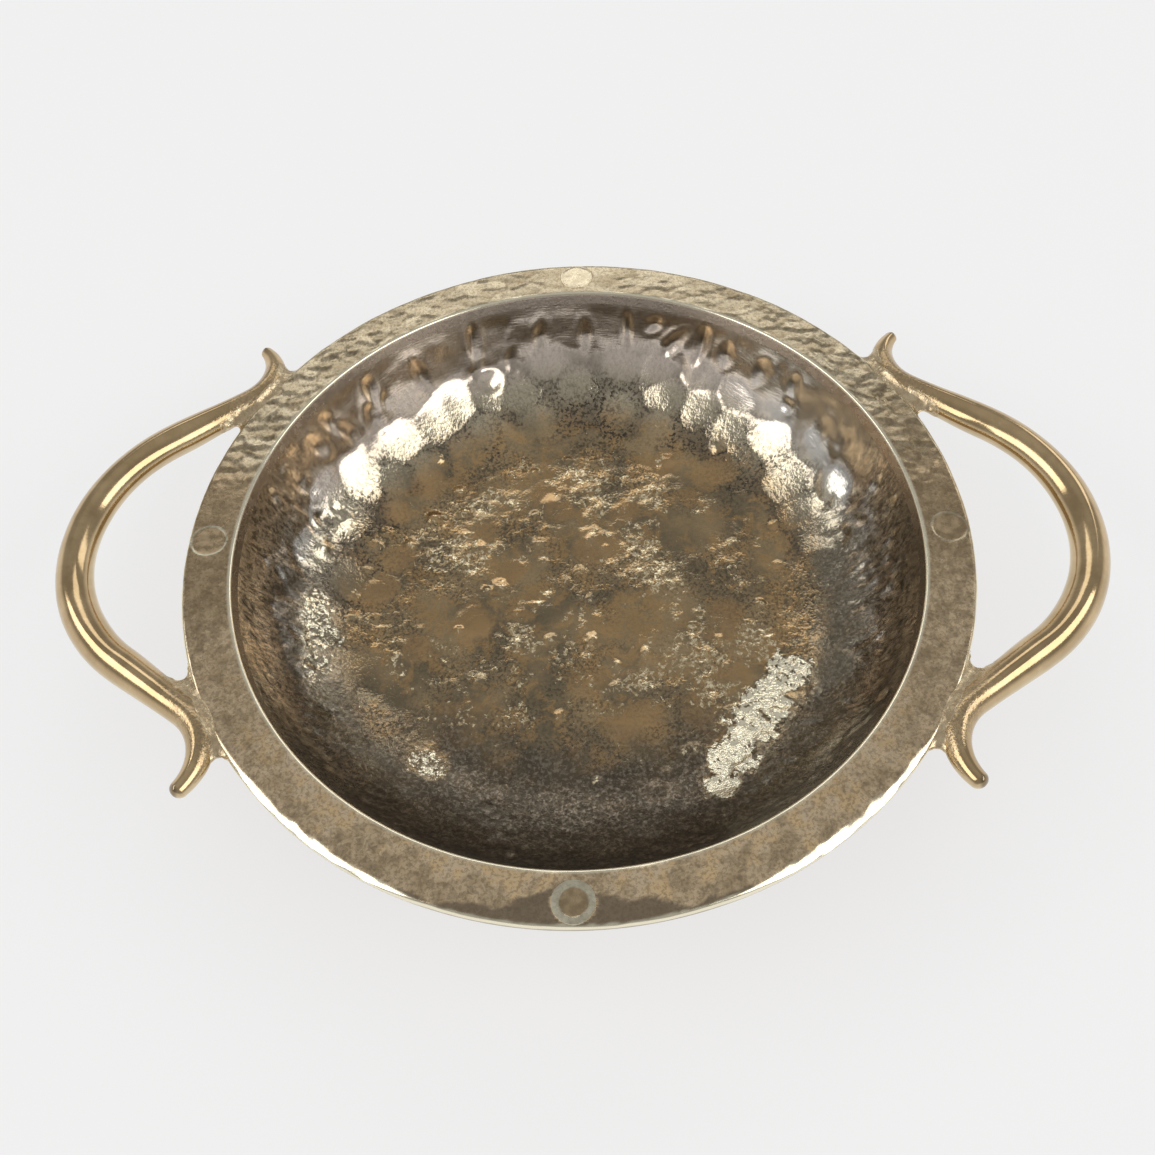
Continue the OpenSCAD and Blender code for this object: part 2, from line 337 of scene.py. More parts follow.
for degrees, up_to, wide in rounds:
    gap = away(degrees, up_to) / wide + uneven
    cast += 0.07 * np.exp(-gap ** 6) - 0.05 * np.exp(-((gap - 1.1) / 0.2) ** 2)
    coarse *= 1 - 0.6 * np.exp(-gap ** 8)
    discs = np.maximum(discs, np.exp(-gap ** 10))
pebbles = swell(at, 2.6) * (0.14 * coarse + 0.20 * flecked)
pebbles += swell(at, 1.5, 7.0) * (0.07 * coarse + 0.16 * bare + 0.17 * flecked)
waves = swell(at, 15, 3.0) * 0.30 + swell(at, 6.5, 5.0) * 0.13
crinkle = far_wall * (swell(at, 3.0, 2.2) * 0.05 + swell(at * np.array([1, 1, 0.4]), 1.7, 6.1) * 0.022)
relief = waves + struck + planished + cast + pebbles + crinkle
relief *= fade(to_lip - along, 0.2, 4.0)
back_dents = swell(at, 9, 9.0) * 0.16 + swell(at, 5, 2.0) * 0.08
back_dents = back_dents * fade(at[:, 2], 0.6, 3) * (1 - fade(at[:, 2], 24, 26))


def set_places(piece, at):
    """Puts a piece's vertices at the places given in millimetres."""
    piece.data.vertices.foreach_set("co", (at * MM).astype(np.float32).ravel())
    piece.data.update()


def raise_relief(piece, at, normals, height):
    """Moves each vertex along its normal by a height."""
    set_places(piece, at + normals * height[:, None])


def keep_mask(piece, name, values):
    """Keeps a value from 0 to 1 on each vertex, which the piece's material reads."""
    layer = piece.data.attributes.new(name, "FLOAT", "POINT")
    layer.data.foreach_set("value", np.clip(values, 0, 1).astype(np.float32))


def pick(piece):
    """Makes a piece the only one selected, and the active one."""
    deselect()
    piece.select_set(True)
    bpy.context.view_layer.objects.active = piece


raise_relief(shell, at, normals, np.where(is_inside, relief, back_dents))
HOLLOW_DEEP = 0.6
shell_masks = {
    "hollow": -(struck + planished + cast) / HOLLOW_DEEP, "bare": bare, "flecked": flecked, "gritty": gritty,
    "discs": discs * (1 - bare) * (1 - flecked), "shaded": shaded, "scraped": far_wall}
for name, values in shell_masks.items():
    keep_mask(shell, name, np.where(is_inside, values, 0))
keep_mask(shell, "coarse", np.where(is_inside, coarse, 0.35))
keep_mask(shell, "outer", ~is_inside)
pick(shell)
bpy.ops.object.shade_smooth_by_angle(angle=SHELL_SMOOTH)


class Kit:
    """Puts a finish or a shared effect together from nodes, over a place in millimetres."""

    def __init__(self, tree, place=None):
        self.tree = tree
        self.place = place

    def put(self, value, socket):
        """Links an output to a socket, or sets the socket to a number or a colour."""
        if isinstance(value, (int, float)):
            socket.default_value = value
        elif isinstance(value, tuple):
            socket.default_value = (*value, 1)
        else:
            self.tree.links.new(value, socket)

    def add(self, kind, inputs, **settings):
        """Adds a node with its settings and inputs, and gives its outputs."""
        made = self.tree.nodes.new("ShaderNode" + kind)
        for name, value in settings.items():
            setattr(made, name, value)
        for name, value in inputs.items():
            self.put(value, made.inputs[name])
        return made.outputs

    def sums(self, operation, one, other, clamp=False):
        """One step of arithmetic."""
        return self.add("Math", {0: one, 1: other}, operation=operation, use_clamp=clamp)[0]

    def times(self, one, other, clamp=False):
        """One value times another."""
        return self.sums("MULTIPLY", one, other, clamp)

    def plus(self, base, *parts):
        """A base with parts added, each a value and its share."""
        for value, share in parts:
            base = self.sums("ADD", base, self.times(value, share))
        return base

    def mix(self, amount, one, other):
        """Mixes two colours by an amount."""
        return self.add("Mix", {0: amount, 6: one, 7: other}, data_type="RGBA")[2]

    def lay(self, base, *coats):
        """Lays coats over a colour, each a colour, the mask that says where, and its share."""
        for over, mask, share in coats:
            base = self.mix(self.times(mask, share), base, over)
        return base

    def stretch(self, value, low, high, to_low=0.0, to_high=1.0):
        """Maps a value smoothly from one range to another."""
        return self.add("MapRange", {"Value": value, "From Min": low, "From Max": high, "To Min": to_low,
                                     "To Max": to_high}, interpolation_type="SMOOTHSTEP")["Result"]

    def masks(self, *names):
        """The values that keep_mask left on the piece."""
        return [self.add("Attribute", {}, attribute_name=name)["Fac"] for name in names]

    def noise(self, scale, detail=2.0, rough=0.5, warp=0.0):
        """Noise over the piece."""
        return self.add("TexNoise", {"Vector": self.place, "Scale": scale, "Detail": detail,
                                     "Roughness": rough, "Distortion": warp})[0]

    def skin(self, size, streak=1.0):
        """The cast skin's outputs, for a size of grain; a low streak draws the grain upright."""
        inputs = {"Place": self.place, "Grain Size": size, "Streak": streak}
        return self.add("Group", inputs, node_tree=cast_skin)

    def stains(self, size):
        """The patina's outputs, for a size of blotch."""
        return self.add("Group", {"Place": self.place, "Blotch Size": size}, node_tree=patina)


def new_effect(name, values, results):
    """A shared effect's group, kit, inputs and outputs; it takes a place and the values named."""
    group = bpy.data.node_groups.new(name, "ShaderNodeTree")
    group.interface.new_socket("Place", in_out="INPUT", socket_type="NodeSocketVector")
    for label, value in values.items():
        made = group.interface.new_socket(label, in_out="INPUT", socket_type="NodeSocketFloat")
        made.default_value = value
    for label in results:
        group.interface.new_socket(label, in_out="OUTPUT", socket_type="NodeSocketFloat")
    entry = group.nodes.new("NodeGroupInput").outputs
    return group, Kit(group, entry["Place"]), entry, group.nodes.new("NodeGroupOutput").inputs


def new_finish(name, metallic):
    """A material and its kit."""
    material = bpy.data.materials.new(name)
    material.use_nodes = True
    kit = Kit(material.node_tree)
    material.node_tree.nodes["Principled BSDF"].inputs["Metallic"].default_value = metallic
    coordinates = kit.add("TexCoord", {})["Object"]
    kit.place = kit.add("VectorMath", {0: coordinates, "Scale": 1 / MM}, operation="SCALE")[0]
    return material, kit


def dress(kit, colour, rough, height, strength):
    """Gives a metal its colour, its roughness and its finest grain."""
    shader = kit.tree.nodes["Principled BSDF"].inputs
    kit.put(colour, shader["Base Color"])
    kit.put(rough, shader["Roughness"])
    grain = kit.add("Bump", {"Height": height, "Strength": strength, "Distance": GRAIN_DEEP})
    kit.put(grain[0], shader["Normal"])


# Cast skin: coarse grain with pits, as a height, its specks and the pits' mask
GRAIN_DEEP = 0.0004
cast_skin, kit, entry, leave = new_effect("cast_skin", {"Grain Size": 0.9, "Streak": 1.0},
                                          ("Height", "Speck", "Pits"))
squashed = kit.add("CombineXYZ", {0: 1.0, 1: 1.0, 2: entry["Streak"]})[0]
kit.place = kit.add("VectorMath", {0: entry["Place"], 1: squashed}, operation="MULTIPLY")[0]
per_mm = kit.sums("DIVIDE", 1.0, entry["Grain Size"])
specks = kit.noise(per_mm, 5.0, 0.68, 0.4)
kit.put(kit.noise(per_mm, 2.0, 0.55, 0.2), leave["Height"])
kit.put(specks, leave["Speck"])
kit.put(kit.stretch(specks, 0.41, 0.54, 1.0, 0.0), leave["Pits"])

# Patina: two sizes of blotch, one cloudy and one ragged
patina, kit, entry, leave = new_effect("patina", {"Blotch Size": 12.0}, ("Cloud", "Blotch"))
per_mm = kit.sums("DIVIDE", 1.0, entry["Blotch Size"])
kit.put(kit.stretch(kit.noise(per_mm, 3.0), 0.32, 0.68), leave["Cloud"])
kit.put(kit.stretch(kit.noise(kit.times(per_mm, 2.6), 6.0, 0.68, 0.6), 0.47, 0.57), leave["Blotch"])

# The shell's colours
WALL_TONES = (0.66, 0.635, 0.595), (0.80, 0.775, 0.725)
FIBRE_DARK = (0.15, 0.14, 0.12)
FIBRE_PALE = (0.97, 0.945, 0.885)
FAR_TONES = (0.90, 0.785, 0.67), (0.52, 0.44, 0.36)
FAR_RIGHT = (0.70, 0.685, 0.645)
GRIT = (0.60, 0.53, 0.37)
FLOOR_TONES = (0.26, 0.21, 0.135), (0.50, 0.37, 0.21)
FLOOR_BLOTCH = (0.58, 0.37, 0.17)
FLOOR_DISC = (0.52, 0.34, 0.17)
SHADE_TONES = (0.09, 0.078, 0.062), (0.29, 0.25, 0.20)
SHADE_SPECK = (0.05, 0.044, 0.036)
SHELL_PIT = (0.07, 0.06, 0.045)
DENT_DARK = (0.16, 0.13, 0.10)
BARE_DARK = (0.12, 0.10, 0.07)
BARE_CRUMB_SHEEN = (0.97, 0.90, 0.69)
FLECK_GLINT_TONES = (0.56, 0.42, 0.23), (0.97, 0.86, 0.60)
BACK_TONES = (0.40, 0.30, 0.175), (0.58, 0.445, 0.265)
BACK_BLOTCH = (0.32, 0.235, 0.13)
BACK_PIT = (0.16, 0.12, 0.07)
shell_finish, kit = new_finish("dark_hammered_brass", 1.0)
split = kit.add("SeparateXYZ", {0: kit.place})
hollow, rough_cast, scraped, bare_and_sheen, disc = kit.masks("hollow", "coarse", "scraped", "bare", "discs")
in_shade, fleck_zone, grit_zone, outer = kit.masks("shaded", "flecked", "gritty", "outer")
grain = kit.skin(0.8, 0.45)
fibres = kit.skin(0.95, 0.35)["Speck"]
crumbs = kit.skin(1.2, 0.7)["Speck"]
flecks = kit.skin(1.35, 0.7)["Speck"]
scratches = kit.skin(2.6, 6.0)["Height"]
blotches = kit.stains(15.0)
wall = kit.mix(blotches["Cloud"], *WALL_TONES)
fibre_dark = kit.stretch(fibres, 0.40, 0.53, 0.75, 0.0)
wall = kit.mix(fibre_dark, wall, FIBRE_DARK)
wall = kit.mix(kit.stretch(fibres, 0.53, 0.64, 0.0, 0.6), wall, FIBRE_PALE)
scraped_wall = kit.mix(kit.times(fibre_dark, 0.35), *FAR_TONES)
scraped_wall = kit.mix(kit.stretch(split[0], 30.0, 62.0, 0.0, 0.9), scraped_wall, FAR_RIGHT)
wall = kit.mix(scraped, wall, scraped_wall)
wall = kit.lay(wall, (GRIT, grit_zone, 0.8))
floor = kit.mix(blotches["Cloud"], *FLOOR_TONES)
floor = kit.lay(floor, (FLOOR_BLOTCH, blotches["Blotch"], 0.6), (FLOOR_DISC, disc, 0.7))
colour = kit.mix(kit.stretch(split[2], 3.0, 9.0, 1.0, 0.0), wall, floor)
# Painted shade laid over the near side, the foot of the wall and the right-hand wall
shade = kit.mix(kit.stretch(fibres, 0.46, 0.60), *SHADE_TONES)
shade = kit.mix(kit.stretch(flecks, 0.40, 0.56, 0.4, 0.0), shade, SHADE_SPECK)
colour = kit.lay(colour, (shade, in_shade, 0.88))
creases = kit.times(kit.stretch(hollow, 0.05, 0.35, 0.04, 0.6), grit_zone)
pitted = kit.sums("ADD", creases, kit.plus(0.04, (rough_cast, 0.66)))
pits = kit.times(grain["Pits"], pitted, clamp=True)
colour = kit.mix(pits, colour, SHELL_PIT)
colour = kit.mix(kit.times(hollow, 0.5, clamp=True), colour, DENT_DARK)
# The bare patches carry a painted reflection: dark grain strewn with pale crumbs, kept out of the painted
# shade
colour = kit.mix(kit.stretch(bare_and_sheen, 0.2, 0.5, 0.0, 0.75), colour, BARE_DARK)
colour = kit.mix(kit.stretch(kit.plus(crumbs, (bare_and_sheen, 0.5)), 0.72, 0.80), colour, BARE_CRUMB_SHEEN)
# Pale flecks painted as glints over the lumpy floor and the blister tops
fleck_glint = kit.mix(kit.stretch(fibres, 0.42, 0.60), *FLECK_GLINT_TONES)
colour = kit.mix(kit.stretch(kit.plus(flecks, (fleck_zone, 0.17)), 0.65, 0.72), colour, fleck_glint)
back = kit.mix(blotches["Cloud"], *BACK_TONES)
back = kit.lay(back, (BACK_BLOTCH, blotches["Blotch"], 0.3), (BACK_PIT, grain["Pits"], 0.2))
colour = kit.mix(outer, colour, back)
rough = kit.plus(0.13, (scraped, 0.06), (in_shade, 0.16), (pits, 0.15), (outer, 0.08))
grain_high = kit.plus(kit.times(rough_cast, 0.8), (bare_and_sheen, 3.0), (grit_zone, 0.7), (fleck_zone, 0.8))
grain_high = kit.times(grain["Height"], kit.sums("ADD", 0.10, grain_high))
height = kit.sums("ADD", grain_high, kit.times(scratches, kit.times(scraped, 0.3)))
dress(kit, colour, rough, height, 0.25)
shell.data.materials.append(shell_finish)
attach(shell, "root")
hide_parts("bowl_shell")


# Rim band
# A flat ring of brass laid on the shell's lip. Its far half is rippled by a cross-peen hammer, its sides
# are planished smooth and its near half is blotched; both edges are burnished bright by wear, and the worn
# outer slope of the near quarters is painted pale as a highlight.
RIM_R = 89.8
RIM_TOP = 32.0
RIM_LOW = 29.2
EDGE_R = 1.1
LOW_EDGE_R = 0.8
MOUTH_EDGE_R = 0.6
RIM_STEPS = 760
RIM_SMOOTH = radians(50)
edge_mid = (MOUTH_R + MOUTH_EDGE_R * tan(WALL_ANGLE / 2), RIM_TOP - MOUTH_EDGE_R)
ring = bend(edge_mid, MOUTH_EDGE_R, WALL_ANGLE + pi / 2, pi / 2, 0.24)
ring = [(LIP_IN_R, RIM_LOW)] + run((LIP_IN_R, RIM_LOW), ring[0], 0.55) + ring[1:]
ring += run(ring[-1], (RIM_R - EDGE_R, RIM_TOP), 0.5)
ring += bend((RIM_R - EDGE_R, RIM_TOP - EDGE_R), EDGE_R, pi / 2, 0, 0.3)
ring += run(ring[-1], (RIM_R, RIM_LOW + LOW_EDGE_R), 0.4)
ring += bend((RIM_R - LOW_EDGE_R, RIM_LOW + LOW_EDGE_R), LOW_EDGE_R, 0, DOWN, 0.4)
ring += run(ring[-1], (LIP_IN_R, RIM_LOW), 2.4)
rim = spun("peened_rim", ring, RIM_STEPS)
at, normals = places(rim)
reach, turn = polar(at)
nearness = -np.sin(np.radians(turn))
over = reach - MOUTH_R
up = fade(normals[:, 2], 0.2, 0.8)
upper = fade(at[:, 2], RIM_LOW + 0.6, RIM_TOP - 0.8)
to_mouth = fade(over, 0.2, 1.6)
to_edge = fade(RIM_R - reach, 0.2, 1.6)
on_side = reach > RIM_R - EDGE_R

# Flakes lie over one another along the far half, stepping down to the near side; each one's height, tilt,
# slope and tone are drawn by lot from its middle
FLAKE = np.array([4.6, 3.0])
LOTS = np.array([[12.99, 39.35, 73.16], [78.23, 11.13, 52.24]])
LOT_SPREAD = 43758.55
ragged_end = swell(at, 4.5, 8.0) * 2.2
from_far = np.abs(apart(turn, 90))
peened = fade(turn + ragged_end, 8.5, 9.5) * (1 - fade(turn + ragged_end, 168, 169.5))
peened *= fade(from_far + ragged_end, 5.5, 8.0)
level = np.zeros(len(at))
warp = np.column_stack([swell(at, 6, 1.0), swell(at, 5, 2.0), level]) * 0.35
grid = np.column_stack([at[:, :2] / FLAKE, level]) + warp
found = [noise.voronoi(Vector(p)) for p in grid]
border = np.array([f[0][1] - f[0][0] for f in found])
middle = np.array([f[1][0][:2] for f in found])
lot = np.sin(middle @ LOTS) * LOT_SPREAD
lot -= np.floor(lot)
offset = (grid[:, :2] - middle) * FLAKE
flake = (lot[:, 0] - 0.5) * 0.14 + offset[:, 0] * (lot[:, 1] - 0.5) * 0.14
flake -= offset[:, 1] * (0.02 + 0.11 * lot[:, 2])
flake += 0.07 * swell(at, 1.7, 3.0)
# Painted shade along the cracks between flakes, darkest on each flake's near edge
gap = 1 - fade(border + 0.16 * swell(at, 1.5, 5.0), 0.02, 0.30)
gap *= (0.2 + 0.8 * fade(-offset[:, 1] / FLAKE[1], 0.0, 0.3)) * fade(swell(at, 3.0, 7.0), -0.35, 0.15)
peened *= 0.55 + 0.45 * fade(from_far, 20, 55)

# Gold skin has flowed over the near half; it is worn through to dark brass round the near rivet
RIVET_RING = 84.8
flow = swell(at, 6.0, 6.0) + 0.5 * swell(at, 2.6, 2.0)
near_side = fade(nearness, 0.3, 0.7)
at_front = fade(nearness, 0.60, 0.90)
from_rivet = np.abs(np.radians(apart(turn, 270)) * RIVET_RING)
bare = (1 - fade(from_rivet + flow, 7.0, 7.6)) * fade(over - 0.09 * from_rivet ** 2, 0.5, 0.9)
dark_wide = 6.0 * np.exp(-(from_rivet / 12) ** 2) + 1.8 * (1 - fade(from_rivet, 24, 44))
dark_wide -= 1.0 * fade(from_rivet, 40, 46)
worn_dark = fade(over - (RIM_R - MOUTH_R - dark_wide) + 2.0 * flow, -0.2, 0.2) * near_side
inward = flow - 0.10 * (over - 4.5)
crisp = fade(inward, -0.16, 0.0)
soft = fade(inward + 0.4 * swell(at, 1.5, 4.0), -0.5, 0.6)
flowed = (at_front * crisp + (1 - at_front) * soft) * near_side * (1 - bare) * (1 - worn_dark)
smooth_waves = swell(at, 11, 4.0) * 0.12 + swell(at, 4.2, 1.0) * 0.06
relief = to_edge * peened * (flake - 0.16 * gap) + flowed * 0.12 - 0.10 * worn_dark + smooth_waves
relief = up * to_mouth * relief
side_dents = np.where(on_side, swell(at * np.array([1, 1, 0.2]), 3.2, 3.0), 0) * (1 - up)
relief += side_dents * upper * (0.10 + 0.12 * peened) - np.where(on_side, 0.1 * (1 - up), 0)

# The near quarters are worn to a slope along their outer edge
WORN_SLOPE = 0.62
WORN_SOFT = 0.12
quarters = fade(nearness, 0.53, 0.75) * (1 - fade(nearness, 0.86, 0.97))
worn_from = RIM_R - 0.6 - 1.1 * quarters + 0.7 * quarters * swell(at, 5.0, 9.0)
worn_from += 0.3 * quarters * swell(at, 2.0, 3.0)
slope_z = RIM_TOP - WORN_SLOPE * np.clip(reach - worn_from, 0, None)
worn_z = -WORN_SOFT * np.logaddexp(-at[:, 2] / WORN_SOFT, -slope_z / WORN_SOFT)
worn = fade(reach, worn_from - 0.5, worn_from + 0.2) * fade(quarters, 0.0, 0.3) * (at[:, 2] > RIM_LOW + 0.5)
at[:, 2] += worn * (worn_z - at[:, 2])
raise_relief(rim, at, normals, relief * (1 - 0.8 * worn))
brown_from = from_far + 2.0 * swell(at, 7, 2.0) - 10 * (at[:, 0] < 0)
# Both edges are pale, burnished by wear; over the near quarters' worn slope the pale is a painted highlight
outer_edge = fade(reach + 0.35 * swell(at, 1.8, 2.0), RIM_R - 0.9, RIM_R - 0.35)
outer_edge *= fade(at[:, 2] + 0.9 * quarters, RIM_TOP - 1.8, RIM_TOP - 1.2)
outer_edge = np.maximum(outer_edge, worn * fade(reach, worn_from - 0.1, worn_from + 0.3))
mouth_edge = 1 - fade(over + 0.10 * swell(at, 2.5), 0.35, 0.75)
mouth_edge *= fade(at[:, 2], RIM_TOP - 0.7, RIM_TOP - 0.45)
rim_masks = {
    "peened": fade(-nearness, 0.17, 0.30) * up, "gap": gap * peened, "flowed": flowed, "worn_dark": worn_dark,
    "brown": fade(brown_from, 58, 70) * (1 - fade(brown_from, 90, 100)) * up,
    "tone": 0.5 + 0.9 * (lot[:, 0] - 0.5) + 0.22 * offset[:, 1] / FLAKE[1],
    "rubbed_and_sheen": np.maximum(outer_edge, mouth_edge), "mouth": (over < 0.3) * (1 - mouth_edge)}
for name, values in rim_masks.items():
    keep_mask(rim, name, values)
pick(rim)
bpy.ops.object.shade_smooth()


def cut_away(piece, tool):
    """Cuts a tool's shape out of a piece, and puts the tool away."""
    pick(piece)
    bpy.ops.object.modifier_add(type="BOOLEAN")
    cut = piece.modifiers[-1]
    cut.object = tool
    cut.operation = "DIFFERENCE"
    cut.solver = "EXACT"
    bpy.ops.object.modifier_apply(modifier=cut.name)
    bpy.data.objects.remove(tool)


# Round seats for the four rivet heads are cut into the top of the band
HEAD_R = 4.3
HEAD_T = 1.0
HEAD_SIDES = 72
HEAD_GAP = 0.03
DRILL_LONG = 4.0
deselect()
drills = []
for quarter in range(4):
    angle = quarter * pi / 2
    spot = (RIVET_RING * cos(angle), RIVET_RING * sin(angle), RIM_TOP - HEAD_T + DRILL_LONG / 2)
    bpy.ops.mesh.primitive_cylinder_add(vertices=HEAD_SIDES, radius=(HEAD_R + HEAD_GAP) * MM,
                                        depth=DRILL_LONG * MM, location=Vector(spot) * MM)
    drills.append(bpy.context.object)
for drill in drills:
    drill.select_set(True)
bpy.ops.object.join()
cut_away(rim, bpy.context.object)
bpy.ops.object.shade_smooth_by_angle(angle=RIM_SMOOTH)

# The band's colours
SMOOTH_TONES = (0.53, 0.40, 0.245), (0.72, 0.55, 0.345)
SMOOTH_MOTTLE = (0.86, 0.69, 0.465)
SMOOTH_BLOTCH = (0.34, 0.26, 0.165)
GOLD_TONES = (0.92, 0.67, 0.375), (0.82, 0.66, 0.455)
WORN_DARK = (0.25, 0.195, 0.14)
PEEN_TONES = (0.44, 0.355, 0.225), (0.70, 0.60, 0.415)
FLAKE_TONES = (0.33, 0.26, 0.16), (0.84, 0.74, 0.54)
GAP_SHADE = (0.20, 0.155, 0.095)
SIDE_BROWN = (0.30, 0.215, 0.12)
RIM_PIT = (0.20, 0.155, 0.10)
RUBBED_SHEEN = (0.93, 0.86, 0.66)
MOUTH_TONES = (0.26, 0.24, 0.215), (0.60, 0.51, 0.43)
rim_finish, kit = new_finish("peened_rim_brass", 1.0)
grain = kit.skin(0.8)
blotches = kit.stains(7.0)
mottle = kit.stains(2.4)["Cloud"]
peen_zone, gap_shade, gold_zone, dark_zone = kit.masks("peened", "gap", "flowed", "worn_dark")
rubbed_and_sheen, mouth_zone, brown_zone, flake_tone = kit.masks("rubbed_and_sheen", "mouth", "brown", "tone")
smooth = kit.mix(blotches["Cloud"], *SMOOTH_TONES)
gold = kit.mix(mottle, *GOLD_TONES)
smooth = kit.lay(smooth, (SMOOTH_MOTTLE, mottle, 0.6), (SMOOTH_BLOTCH, blotches["Blotch"], 0.5),
                 (gold, gold_zone, 0.9), (WORN_DARK, dark_zone, 0.85))
peen = kit.mix(0.5, kit.mix(mottle, *PEEN_TONES), kit.mix(flake_tone, *FLAKE_TONES))
# Painted shade in the cracks between flakes
peen = kit.lay(peen, (GAP_SHADE, gap_shade, 0.85))
colour = kit.mix(peen_zone, smooth, peen)
colour = kit.lay(colour, (SIDE_BROWN, brown_zone, 0.55), (RIM_PIT, grain["Pits"], 0.45))
# Burnished edges, with a painted highlight along the near quarters' worn slope
colour = kit.mix(rubbed_and_sheen, colour, RUBBED_SHEEN)
far_side = kit.stretch(kit.add("SeparateXYZ", {0: kit.place})[1], -10.0, 35.0)
colour = kit.mix(mouth_zone, colour, kit.mix(far_side, *MOUTH_TONES))
rough = kit.plus(0.22, (mottle, 0.08), (rubbed_and_sheen, -0.08))
height = kit.times(grain["Height"], kit.plus(1.0, (rubbed_and_sheen, -0.85)))
dress(kit, colour, rough, height, 0.08)
rim.data.materials.clear()
rim.data.materials.append(rim_finish)
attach(rim, "root")
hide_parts("rim_band")


# Rivets
# Four brass rivets, a quarter turn apart, hold the band to the lip. Each head is struck flush with the
# band and has a faint ring left by the set; its tail is closed over under the lip.
SHANK_R = 1.6
TAIL_R = 2.8
TAIL_T = 1.0
RIVET_SMOOTH = radians(40)
HEAD_LOW = RIM_TOP - HEAD_T
HEAD_TONES = (0.36, 0.27, 0.16), (0.56, 0.425, 0.265)
HEAD_PALE = (0.84, 0.73, 0.52)
RING_TONES = (0.58, 0.535, 0.40), (0.74, 0.70, 0.54)
HEAD_PIT = (0.2, 0.17, 0.12)
rivet_finish, kit = new_finish("struck_rivet_brass", 1.0)
grain = kit.skin(0.8)
mottle = kit.stains(2.4)["Cloud"]
ring_zone, pale_head = kit.masks("ring", "pale")
colour = kit.mix(mottle, *HEAD_TONES)
colour = kit.mix(pale_head, colour, HEAD_PALE)
colour = kit.mix(ring_zone, colour, kit.mix(mottle, *RING_TONES))
colour = kit.lay(colour, (HEAD_PIT, grain["Pits"], 0.2))
dress(kit, colour, kit.plus(0.23, (mottle, 0.08)), grain["Height"], 0.1)
head = [(0, RIM_TOP)] + run((0, RIM_TOP), (HEAD_R - 0.06, RIM_TOP), 0.2) + [(HEAD_R, RIM_TOP - 0.1)]
shank = [(HEAD_R, HEAD_LOW + 0.1), (HEAD_R - 0.1, HEAD_LOW + 0.01), (SHANK_R, HEAD_LOW + 0.01),
         (SHANK_R, LIP_LOW - 0.01)]
tail = [(TAIL_R - 0.1, LIP_LOW - 0.01), (TAIL_R, LIP_LOW - 0.15), (TAIL_R - 0.05, LIP_LOW - 0.45),
        (TAIL_R - 0.4, LIP_LOW - TAIL_T + 0.2), (TAIL_R - 1.2, LIP_LOW - TAIL_T + 0.03),
        (0, LIP_LOW - TAIL_T)]
# Each: name, degrees round, height and inner edge of its ring, how plain the ring is, how pale the head is
for side, degrees, ring_high, ring_in, plain, pale in (
        ("right", 0, 0.05, 3.85, 0.5, 0.0), ("far", 90, 0.02, 3.95, 0.3, 1.0),
        ("left", 180, 0.08, 3.9, 1.0, 0.0), ("near", 270, 0.07, 2.85, 1.0, 0.0)):
    rivet = spun("rivet_" + side + "_struck", head + shank + tail, HEAD_SIDES)
    at, normals = places(rivet)
    out, _ = polar(at)
    at[:, 0] += RIVET_RING * cos(radians(degrees))
    at[:, 1] += RIVET_RING * sin(radians(degrees))
    on_top = at[:, 2] > RIM_TOP - 0.3
    set_ring = fade(out + 0.28 * swell(at, 2.2, 1.0), ring_in - 0.18, ring_in + 0.12) * on_top
    sunk = swell(at, 1.8, 6.0) * 0.05 * on_top * (1 - set_ring)
    raise_relief(rivet, at, normals, (set_ring * (ring_high + 0.05) - 0.05) * on_top + sunk)
    keep_mask(rivet, "ring", plain * set_ring)
    keep_mask(rivet, "pale", np.full(len(at), pale))
    bpy.ops.object.shade_smooth_by_angle(angle=RIVET_SMOOTH)
    rivet.data.materials.append(rivet_finish)
    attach(rivet, "root")
    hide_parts("rivet_" + side)


# Handles
# Each handle is one brass rod bent to a loop, drawn down to its roots and flared outward there into two short
# horns with rounded ends. Forged, dressed to soft flats and polished; its roots are hollowed to the rim.
ROD_Z = 30.8
ROD_R = 4.4
ROD_SIDES = 48
ROD_SMOOTH = radians(50)
ROOT_R = 3.55
NEAR_TIP_R = 2.3
FAR_TIP_R = 1.8
LOOP_X = 77.2
LOOP_R = 38.3
LOOP_HALF = radians(54.5)
NECK = 21.0
HORN_MID = (90.0, 54.08)
HORN_FACE = 9.6
HORN_END = radians(146)
DOME_END = radians(84)
DOME_LONG = 0.85
LOOP_STEPS = 24
NECK_STEPS = 14
HORN_STEPS = 30
DOME_STEPS = 6
SEAT_R = 90.6
SEAT_SIDES = 360
SEAT_DEEP = 20.0
CREST = 1.65


def half_rod(tip_r):
    """Middle points, headings and radii of half the right-hand rod, from the loop's end to a horn's tip."""
    def ahead(station, by, r):
        """A station straight on from another, with its own radius."""
        x, y, heading, _ = station
        return x + by * cos(heading), y + by * sin(heading), heading, r

    half = []
    for i in range(LOOP_STEPS + 1):
        a = LOOP_HALF * i / LOOP_STEPS
        half.append((LOOP_X + LOOP_R * cos(a), LOOP_R * sin(a), a + pi / 2, ROD_R))
    end = half[-1]
    for i in range(1, NECK_STEPS + 1):
        t = i / NECK_STEPS
        half.append(ahead(end, NECK * t, ROD_R + (ROOT_R - ROD_R) * t * t * (3 - 2 * t)))
    start = pi + LOOP_HALF
    for i in range(1, HORN_STEPS + 1):
        t = i / HORN_STEPS
        a = start + (HORN_END - start) * t
        r = ROOT_R + (tip_r - ROOT_R) * t ** 1.7
        half.append((HORN_MID[0] + (HORN_FACE + r) * cos(a), HORN_MID[1] + (HORN_FACE + r) * sin(a),
                     a - pi / 2, r))
    end = half[-1]
    for i in range(1, DOME_STEPS + 1):
        a = DOME_END * i / DOME_STEPS
        half.append(ahead(end, DOME_LONG * tip_r * sin(a), tip_r * cos(a)))
    return half


